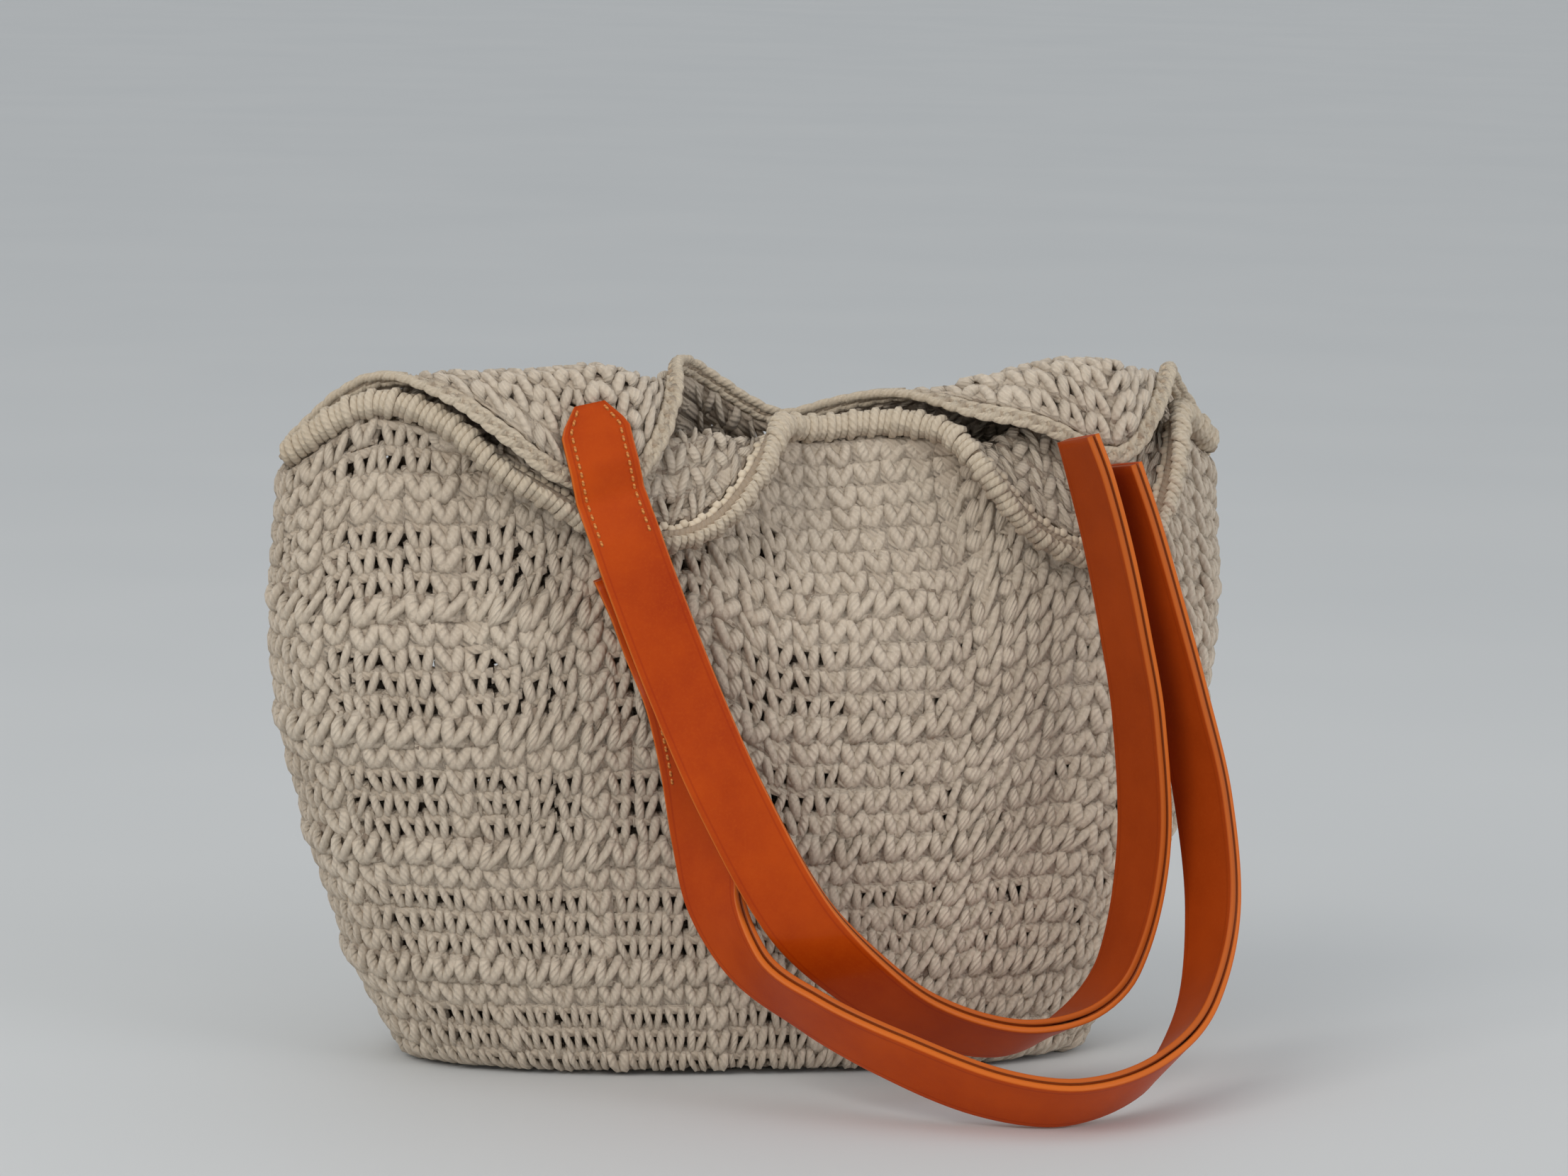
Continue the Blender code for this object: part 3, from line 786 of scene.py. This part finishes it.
def backing(column, row, length, stretched, stretch, hole):
    """Thin pads of cord between the face and the reverse of each knot, cut short over a hole."""
    pads = []
    for k in range(len(column)):
        bottom = PAD_BOTTOM_OVER_HOLE if hole[k] > OPEN_KNOT else -PAD_REACH
        corners = []
        for across in (-PAD_REACH, PAD_REACH):
            for up in (bottom, PAD_REACH):
                for out in (PAD_INNER, PAD_OUTER):
                    at = FIRST_ROW_CENTRE + (row[k] + up) * STITCH_HEIGHT
                    if at > stretched[k]:
                        at = stretched[k] + (at - stretched[k]) * stretch[k]
                    corners.append(((column[k] + 0.5 + across) / STITCHES_ROUND, at / length[k], out))
        u, v, out = np.array(corners).T
        places = fabric.wrap(u, v, out)
        coordinates = []
        for face in PAD_FACES:
            coordinates.extend([(places[i][2], places[i][0] * PAD_TURNS) for i in face])
        pads.append((places, PAD_FACES, np.array(coordinates), np.full(8, PAD_SHADE_TONE)))
    return pads


def knots(name, first, last, seed):
    """One stretch of the knotted fabric, from one column of knots to another."""
    generator = np.random.default_rng(seed)
    cells = []
    for column in range(first, last):
        length = float(fabric.length_at(np.array([(column + 0.5) / STITCHES_ROUND]))[0])
        count = int(round((length - FIRST_ROW_CENTRE) / STITCH_HEIGHT + 0.5))
        cells.extend((column, row, count, length) for row in range(count))
    column, row, count, length = (np.array(values) for values in zip(*cells))
    number = len(column)
    centre_u = (column + 0.5) / STITCHES_ROUND
    hole = openness(centre_u, row, generator)[:, None]
    rib = ((row % BLOCK == RIB_ROW) * (row < RIBBED_ROWS)).astype(float)[:, None]
    post = (column % BLOCK == POST_COLUMN).astype(float)[:, None]
    slant = generator.normal(0.0, SLANT_SPREAD, number)[:, None]
    shift_u = generator.normal(0.0, ACROSS_SPREAD, number)[:, None]
    shift_v = generator.normal(0.0, UP_SPREAD, number)[:, None]
    fatness = (1.0 + generator.normal(0.0, FATNESS_SPREAD, number))[:, None]
    proud = generator.normal(0.0, PROUD_SPREAD, number)[:, None]
    ribbed = np.where(centre_u < 0.5, np.clip(1.0 - centre_u * 1.6, 0.45, 1.0), 0.6)[:, None]

    stretched = FIRST_ROW_CENTRE + (count - FITTED_ROWS - 0.5)[:, None] * STITCH_HEIGHT
    last_edge = FIRST_ROW_CENTRE + (count - 0.5)[:, None] * STITCH_HEIGHT
    stretch = (length[:, None] - stretched) / (last_edge - stretched)
    copies = []
    for shape, mirror, radius, squash, cord, kind in STRANDS:
        line = np.array(shape) * (STITCH_WIDTH, STITCH_HEIGHT, 1.0)
        places, faces, coordinates, station = bend(cord, line, radius, squash)
        middle = line[station, 0] / STITCH_WIDTH
        u = middle + (places[:, 0] / STITCH_WIDTH - middle) * (fatness * (1.0 - 0.26 * hole))
        v = np.tile(places[:, 1] / STITCH_HEIGHT, (number, 1))
        out = np.tile(places[:, 2], (number, 1))
        if kind == "reverse":
            behind = (0.12 + u * 0.72) * mirror
            u = (0.5 + u * mirror) * (1.0 - hole) + behind * hole
        elif kind == "face":
            u = (u + (0.115 - middle * 0.45) * hole) * mirror
            u = u + RIB_LEAN * v * rib * ribbed
        u = u + shift_u + slant * v
        v = v * (1.0 + 0.05 * rib) + shift_v
        out = out * (1.0 + 0.15 * rib) + proud + rib * ribbed * RIB_HEIGHT + post * POST_HEIGHT
        at = FIRST_ROW_CENTRE + (row[:, None] + v) * STITCH_HEIGHT
        at = np.where(at > stretched, stretched + (at - stretched) * stretch, at)
        around = (column[:, None] + 0.5 + u) / STITCHES_ROUND
        wrapped = fabric.wrap(around.ravel(), (at / length[:, None]).ravel(), out.ravel())
        wrapped[:, 2] = np.maximum(wrapped[:, 2], LOWEST)
        wrapped = wrapped.reshape(number, -1, 3)
        depth = places[:, 2] if kind != "reverse" else -places[:, 2]
        # Painted shade: the deeper a corner of a strand lies, the lower its tone and the darker the cord
        # is painted.
        tone = HOLLOW_SHADE_TONE + TONE_RISE * np.clip((depth + HOLLOW_DEPTH) / TONE_DEPTH, 0.0, 1.0)
        offsets = generator.uniform(0.0, 1.0, number)
        shades = generator.normal(0.0, TONE_SPREAD, number)
        for k in range(number):
            uv = coordinates + (offsets[k], 0.0)
            copies.append((wrapped[k], faces, uv, tone + shades[k]))
    copies.extend(backing(column, row, length, stretched[:, 0], stretch[:, 0], hole[:, 0]))
    corners, faces, coordinates, tones = joined(copies)
    piece_from(name, corners, faces, coordinates, tones, cotton, ("bag_body",))


QUARTER = STITCHES_ROUND // 4
knots("knots_front_left", 0, QUARTER, 11)
knots("knots_front_right", QUARTER, 2 * QUARTER, 12)
knots("knots_back_right", 2 * QUARTER, 3 * QUARTER, 13)
knots("knots_back_left", 3 * QUARTER, STITCHES_ROUND, 14)


BASE_COLUMNS = 13
BASE_ROWS = 6
BASE_MARGIN_WIDE = 0.009
BASE_MARGIN_DEEP = 0.007
BASE_KNOT_HEIGHT = 0.0036
BASE_TONE = 0.6


def base_knots():
    """The bag's knotted bottom, its smooth side down."""
    generator = np.random.default_rng(15)
    wide = BASE_HALF_WIDTH - BASE_MARGIN_WIDE
    deep = BASE_HALF_DEPTH - BASE_MARGIN_DEEP
    cosine = math.cos(BASE_TURN)
    sine = math.sin(BASE_TURN)
    copies = []
    for i in range(-BASE_COLUMNS, BASE_COLUMNS + 1):
        for j in range(-BASE_ROWS, BASE_ROWS + 1):
            x = i * STITCH_WIDTH
            y = j * STITCH_HEIGHT
            if abs(x / wide) ** ROUNDNESS + abs(y / deep) ** ROUNDNESS > 1.0:
                continue
            shade = generator.normal(0.0, TONE_SPREAD)
            for shape, mirror, radius, squash, cord, kind in STRANDS:
                line = np.array(shape) * (STITCH_WIDTH, STITCH_HEIGHT, 0.8)
                places, faces, coordinates, _ = bend(cord, line, radius, squash)
                across = x + places[:, 0] * mirror
                if kind == "reverse":
                    across = across + STITCH_WIDTH / 2
                along = y + places[:, 1]
                height = np.maximum(BASE_KNOT_HEIGHT - places[:, 2], LOWEST)
                turned_x = across * cosine + along * sine
                turned_y = along * cosine - across * sine
                turned = np.stack([turned_x, turned_y, height], 1)
                tone = np.full(len(places), BASE_TONE + shade)
                copies.append((turned, faces, coordinates, tone))
    corners, faces, coordinates, tones = joined(copies)
    piece_from("knots_base", corners, faces, coordinates, tones, cotton, ("bag_body",))


base_knots()

# The edgings

CORE_SECTIONS = 240
CORE_MARGIN = 0.004
FRONT_CORE_RADIUS = 0.0034
BACK_CORE_RADIUS = 0.0018
# Low tones for the cores paint them in shade between the windings and loops over them.
FRONT_CORE_SHADE_TONE = 0.3
BACK_CORE_SHADE_TONE = 0.35


def edge_line(front, radius):
    """Middle line just past the fabric's edge with its directions, at even steps."""
    half = fabric.columns // 2
    picked = (np.arange(half + 1) + (0 if front else half)) % fabric.columns
    ends = fabric.places[:, -1]
    along = np.roll(ends, -2, axis=0) - np.roll(ends, 2, axis=0)
    along /= np.linalg.norm(along, axis=1, keepdims=True)
    run = ends - fabric.places[:, -4]
    run -= along * np.sum(run * along, axis=1, keepdims=True)
    run /= np.linalg.norm(run, axis=1, keepdims=True)
    out = np.cross(run, along)
    middle = (ends + run * (radius + EDGE_GAP))[picked]
    length = np.concatenate(([0.0], np.cumsum(np.linalg.norm(np.diff(middle, axis=0), axis=1))))
    return length, middle, along[picked], run[picked], out[picked]


def at_length(line, s):
    """Place and directions on an edge line at lengths along it."""
    length = line[0]
    result = []
    for k, values in enumerate(line[1:]):
        found = np.stack([np.interp(s, length, values[:, axis]) for axis in range(3)], axis=-1)
        if k:
            found /= np.linalg.norm(found, axis=-1, keepdims=True)
        result.append(found)
    return result


def rolled_rim():
    """The front edge: cord wound over the rolled hem in bumps of three strands."""
    generator = np.random.default_rng(21)
    line = edge_line(True, FRONT_EDGING_RADIUS)
    total = line[0][-1]
    pitch = 0.0030
    strand = 0.0019
    slant = 0.0042
    swells = (0.0005, 0.0015, 0.0003)
    first = 0.006
    unwound = 0.010
    cord = straight_cord(6, 9)
    angles = np.radians(np.linspace(-205.0, 85.0, 10))
    shares = np.linspace(-0.5, 0.5, 10)
    copies = []
    for k in range(int((total - unwound) / pitch)):
        s = first + (k + generator.uniform(-0.1, 0.1)) * pitch
        swell = swells[k % 3] + generator.normal(0.0, 0.00015)
        centre, _, run, out = at_length(line, np.full(10, s) + shares * slant)
        reach = FRONT_EDGING_RADIUS - strand + swell
        radial = run * np.cos(angles)[:, None] + out * np.sin(angles)[:, None]
        path = centre + radial * reach
        places, faces, coordinates, station = bend(cord, path, strand * 1.05, 0.9, radial)
        places[:, 2] = np.maximum(places[:, 2], LOWEST)
        # Painted shade: strand corners that face downward, under the rim, get a low tone and are painted
        # darker.
        depth = np.where(radial[station][:, 2] < -0.4, 0.45, 0.8)
        tone = depth + generator.normal(0.0, 0.07)
        coordinates = coordinates + (generator.uniform(0.0, 1.0), 0.0)
        copies.append((places, faces, coordinates, tone))
    stations = np.linspace(CORE_MARGIN, total - CORE_MARGIN, CORE_SECTIONS + 1)
    centre, _, _, out = at_length(line, stations)
    core = straight_cord(8, CORE_SECTIONS)
    places, faces, coordinates, _ = bend(core, centre, FRONT_CORE_RADIUS, 1.0, out)
    copies.append((places, faces, coordinates, np.full(len(places), FRONT_CORE_SHADE_TONE)))
    corners, faces, coordinates, tones = joined(copies)
    replaced = ("front_edging",)
    piece_from("front_rolled_rim", corners, faces, coordinates, tones, edge_cotton, replaced)


def chain_edge():
    """The back edge: a flat chain of loops of cord."""
    generator = np.random.default_rng(22)
    line = edge_line(False, BACK_EDGING_RADIUS)
    total = line[0][-1]
    pitch = 0.0074
    half_loop = 0.0066
    first = 0.008
    unlooped = 0.012
    end_gap = 0.002
    cord = straight_cord(6, 6)
    copies = []
    shares = np.linspace(-1.0, 1.0, 7)
    arch = np.cos(shares * math.pi / 2)
    for k in range(int((total - unlooped) / pitch)):
        for mirror in (1.0, -1.0):
            s = first + (k + 0.18 * mirror) * pitch + shares * half_loop
            centre, _, run, out = at_length(line, np.clip(s, end_gap, total - end_gap))
            swing = 0.0021 * arch ** 0.8 * mirror + generator.normal(0.0, 0.0002)
            lift = 0.0011 * arch - 0.0007 + 0.0004 * mirror * shares
            path = centre + run * swing[:, None] + out * lift[:, None]
            radius = 0.0017 + 0.0003 * arch
            places, faces, coordinates, station = bend(cord, path, radius, 1.0, out)
            # Painted shade: the low parts of each loop get a lower tone and are painted darker.
            tone = np.clip(0.62 + lift[station] * 200.0, 0.3, 0.95) + generator.normal(0.0, 0.06)
            coordinates = coordinates + (generator.uniform(0.0, 1.0), 0.0)
            copies.append((places, faces, coordinates, tone))
    stations = np.linspace(CORE_MARGIN, total - CORE_MARGIN, CORE_SECTIONS + 1)
    centre, _, _, out = at_length(line, stations)
    core = straight_cord(6, CORE_SECTIONS)
    places, faces, coordinates, _ = bend(core, centre, BACK_CORE_RADIUS, 1.0, out)
    copies.append((places, faces, coordinates, np.full(len(places), BACK_CORE_SHADE_TONE)))
    corners, faces, coordinates, tones = joined(copies)
    replaced = ("back_edging",)
    piece_from("back_chain_edge", corners, faces, coordinates, tones, edge_cotton, replaced)


rolled_rim()
chain_edge()

# The straps

STRAP_SIZE = np.array((BELLY_HALF_WIDTH, BELLY_HALF_DEPTH, HEIGHT))
TAB_TIP_SHARE = 0.45
SEAT_PROBES = (-0.54, -0.36, -0.18, 0.0, 0.18, 0.36, 0.54)
PLY_ROUNDING = 0.0009
CREASE_CUTS = (-0.42, -0.39, 0.39, 0.42)
CREASE_PLACE = 0.405 * STRAP_WIDTH
CREASE_WIDTH = 0.0004
CREASE_DEPTH = 0.00025
STITCH_PITCH = 0.0034
STITCH_SHARE = 0.62
THREAD_RADIUS = 0.00055
THREAD_PROUD = 0.0002
THREAD_DIP = 0.0009
THREAD_TONE = 0.6
EDGE_STITCH = STRAP_WIDTH / 2 - 0.0040


def strap_frames(route):
    """Points along a strap with its direction, width and facing, evenly spaced."""
    knots_on_route = np.array([row[:3] for row in route]) * STRAP_SIZE
    steps = np.linalg.norm(np.diff(knots_on_route, axis=0), axis=1)
    spans = np.concatenate(([0.0], np.cumsum(steps)))
    tables = []
    for axis in range(3):
        tables.append([(s, k[axis]) for s, k in zip(spans, knots_on_route)])
    turns = [(s, math.radians(row[3])) for s, row in zip(spans, route)]
    frames = []
    for s in np.linspace(0.0, spans[-1], STRAP_STATIONS):
        point = Vector([read(t, s, 1) for t in tables])
        near = spans[-1] * 0.004
        ahead = Vector([read(t, min(spans[-1], s + near), 1) for t in tables])
        behind = Vector([read(t, max(0.0, s - near), 1) for t in tables])
        along = (ahead - behind).normalized()
        face = Vector((0.0, -1.0, 0.0))
        face = (face - along * face.dot(along)).normalized()
        width = face.cross(along)
        turn = read(turns, s, 1)
        turned_width = width * math.cos(turn) + face * math.sin(turn)
        turned_face = face * math.cos(turn) - width * math.sin(turn)
        frames.append((s, point, turned_width, turned_face))
    return frames


def node_tree(name):
    """Search tree of one solid's faces."""
    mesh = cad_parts[name].data
    return BVHTree.FromPolygons([v.co for v in mesh.vertices], [tuple(f.vertices) for f in mesh.polygons])


def seated(frames, trees, behind):
    """The same frames, with those of the sewn tab laid on the bag."""
    start = frames[0][0]
    moved = []
    for s, point, width, face in frames:
        shifts = [-1.0]
        for share in SEAT_PROBES:
            edge = point + width * (share * STRAP_WIDTH)
            for tree in trees:
                far = Vector((edge.x, -3.0 * BELLY_HALF_DEPTH, edge.z))
                hit = tree.ray_cast(far, Vector((0.0, 1.0, 0.0)))
                if hit[0] is not None:
                    shifts.append(edge.y + SEAT_GAP + behind - hit[0].y)
        ease = smooth((TAB_LENGTH - (s - start)) / (0.5 * TAB_LENGTH))
        shift = max(shifts) if ease > 0.0 else 0.0
        moved.append((s, point + Vector((0.0, -shift * ease, 0.0)), width, face))
    return moved


def straight_ply():
    """A straight strip of leather with rounded long edges, from x 0 to x 1 in even sections."""
    bpy.ops.object.select_all(action="DESELECT")
    bpy.ops.mesh.primitive_cube_add(size=1.0, location=(0.5, 0.0, 0.5), scale=(1.0, STRAP_WIDTH, PLY))
    strip = bpy.context.object
    bpy.ops.object.transform_apply(location=False, rotation=False, scale=True)
    strip.location = (0.5, 0.0, PLY / 2)
    bpy.ops.object.transform_apply(location=True, rotation=False, scale=False)
    bpy.ops.object.mode_set(mode="EDIT")
    bpy.ops.mesh.select_all(action="DESELECT")
    bpy.ops.object.mode_set(mode="OBJECT")
    for edge in strip.data.edges:
        a, b = (strip.data.vertices[i].co for i in edge.vertices)
        edge.select = abs(a.x - b.x) > 0.5 and min(a.z, b.z) > PLY * 0.9
    bpy.ops.object.mode_set(mode="EDIT")
    bpy.ops.mesh.select_mode(type="EDGE")
    bpy.ops.mesh.bevel(offset=PLY_ROUNDING, segments=3, affect="EDGES")
    for place in CREASE_CUTS:
        bpy.ops.mesh.select_all(action="SELECT")
        bpy.ops.mesh.bisect(plane_co=(0.0, place * STRAP_WIDTH, 0.0), plane_no=(0.0, 1.0, 0.0))
    for cut in range(1, STRAP_STATIONS - 1):
        bpy.ops.mesh.select_all(action="SELECT")
        at = cut / (STRAP_STATIONS - 1)
        bpy.ops.mesh.bisect(plane_co=(at, 0.0, 0.0), plane_no=(1.0, 0.0, 0.0))
    bpy.ops.object.mode_set(mode="OBJECT")
    corners = np.array([v.co for v in strip.data.vertices])
    faces = [tuple(f.vertices) for f in strip.data.polygons]
    bpy.data.objects.remove(strip)
    return corners, faces


def tip_share(run):
    """How much of the strap's width its pointed tab has, at lengths from its tip."""
    return np.minimum(1.0, TAB_TIP_SHARE + (1.0 - TAB_TIP_SHARE) * np.clip(run / TAB_SHOULDER, 0.0, 1.0))


def strap_ply(name, strip, frames, outer, first, pointed, material):
    """One leather ply of a strap, bent along the strap from its first station on."""
    corners, faces = strip
    number = len(frames) - 1
    station = first + np.round(corners[:, 0] * (STRAP_STATIONS - 1)) * (number - first) / number
    points = np.array([f[1] for f in frames])
    widths = np.array([f[2] for f in frames])
    facings = np.array([f[3] for f in frames])
    runs = np.array([f[0] for f in frames])

    def read_at(values):
        every = np.arange(number + 1)
        return np.stack([np.interp(station, every, values[:, axis]) for axis in range(3)], 1)

    run = np.interp(station, np.arange(number + 1), runs) - runs[0]
    across = corners[:, 1]
    half = STRAP_WIDTH / 2
    if pointed:
        across = across * tip_share(run)
    sign = 1.0 if outer else -1.0
    deep = corners[:, 2]
    crease = np.exp(-((np.abs(corners[:, 1]) - CREASE_PLACE) / CREASE_WIDTH) ** 2) * CREASE_DEPTH
    deep = deep - crease * (deep > PLY * 0.9)
    proud = sign * (PLY_GAP / 2 + deep)
    places = read_at(points) + read_at(widths) * across[:, None] + read_at(facings) * proud[:, None]
    coordinates = []
    for face in faces:
        picked = list(face)
        coordinates.extend(zip(run[picked], corners[picked, 1] / half * 0.5 + 0.5))
    tone = np.clip(corners[:, 2] / PLY, 0.0, 1.0)
    piece_from(name, places, faces, coordinates, tone, material, (name,))


def stitches(name, frames, first, last, places_across, material):
    """Rows of thread stitches on the face of a strap."""
    generator = np.random.default_rng(31)
    cord = straight_cord(6, 6)
    shares = np.linspace(-0.5, 0.5, 7)
    runs = np.array([f[0] for f in frames])
    tables = [np.array([f[k] for f in frames]) for k in (1, 2, 3)]
    copies = []
    for place in places_across:
        s = runs[0] + first
        while s < runs[0] + last:
            at = s + shares * STITCH_PITCH * STITCH_SHARE
            point, width, facing = (
                np.stack([np.interp(at, runs, values[:, axis]) for axis in range(3)], 1)
                for values in tables
            )
            reach = PLY_GAP / 2 + PLY + THREAD_PROUD - THREAD_DIP * (2.0 * np.abs(shares)) ** 3
            spot = place * (tip_share(at - runs[0]) if first < TAB_SHOULDER else np.ones(7))
            path = point + width * spot[:, None] + facing * reach[:, None]
            bent, faces, coordinates, _ = bend(cord, path, THREAD_RADIUS, 1.0, facing)
            shade = generator.normal(0.0, 0.1)
            copies.append((bent, faces, coordinates, np.full(len(bent), THREAD_TONE + shade)))
            s += STITCH_PITCH
    corners, faces, coordinates, tones = joined(copies)
    piece_from(name, corners, faces, coordinates, tones, material)


trees = [node_tree(name) for name in ("bag_body", "front_edging", "back_edging")]
ply = straight_ply()
inner = seated(strap_frames(INNER_STRAP), trees, 0.0)
outer = seated(strap_frames(OUTER_STRAP), trees, PLY_GAP / 2 + PLY)
lining_first = LINING_START * (STRAP_STATIONS - 1) / (SOLID_STATIONS - 1)
strap_ply("inner_strap_face", ply, inner, True, 0.0, True, leather)
strap_ply("inner_strap_lining", ply, inner, False, lining_first, False, lining)
strap_ply("outer_strap_face", ply, outer, True, 0.0, False, leather)
strap_ply("outer_strap_lining", ply, outer, False, 0.0, False, lining)
stitches("inner_tab_stitches", inner, 0.003, TAB_LENGTH, (-EDGE_STITCH, EDGE_STITCH), thread)
stitches("outer_strap_stitches", outer, 0.020, 0.085, (-EDGE_STITCH, EDGE_STITCH), thread)

# Floor and light

LAMP_SIZE = 1.6
LAMP_AIM = Vector((0.0, 0.0, 0.12))
KEY_PLACE = (-1.9, -1.6, 1.9)
KEY_POWER = 30.0
FILL_PLACE = (1.8, -1.9, 1.2)
FILL_POWER = 16.0
FLOOR_SIZE = 80.0
ROOM_COLOUR = (0.86, 0.89, 0.92, 1.0)
ROOM_STRENGTH = 0.70


def add_light(name, place, power, colour):
    """A square soft lamp that points at the bag."""
    data = bpy.data.lights.new(name, "AREA")
    data.shape = "RECTANGLE"
    data.size = LAMP_SIZE
    data.size_y = LAMP_SIZE
    data.energy = power
    data.color = colour
    lamp = bpy.data.objects.new(name, data)
    lamp.location = place
    lamp.rotation_euler = (LAMP_AIM - Vector(place)).to_track_quat("-Z", "Y").to_euler()
    bpy.context.scene.collection.objects.link(lamp)


def add_stage():
    """Plain pale floor that fills the view, in even room light."""
    bpy.ops.object.select_all(action="DESELECT")
    bpy.ops.mesh.primitive_plane_add(size=FLOOR_SIZE, location=(0.0, 0.0, 0.0))
    floor = bpy.context.object
    floor.name = "floor"
    finish = Finish("pale_floor", Roughness=0.65, Specular_IOR_Level=0.3)
    shade = finish.noise(finish.place(), 3.0, 2.0)
    finish.set("Base Color", finish.mixed(shade, linear(204, 206, 206), linear(212, 213, 212)))
    floor.data.materials.append(finish.material)
    world = bpy.data.worlds.new("soft_room")
    bpy.context.scene.world = world
    world.use_nodes = True
    background = world.node_tree.nodes["Background"]
    background.inputs["Color"].default_value = ROOM_COLOUR
    background.inputs["Strength"].default_value = ROOM_STRENGTH


add_stage()
add_light("key", KEY_PLACE, KEY_POWER, (1.0, 0.97, 0.93))
add_light("fill", FILL_PLACE, FILL_POWER, (0.98, 0.97, 1.0))
bpy.context.scene.view_settings.view_transform = "Standard"
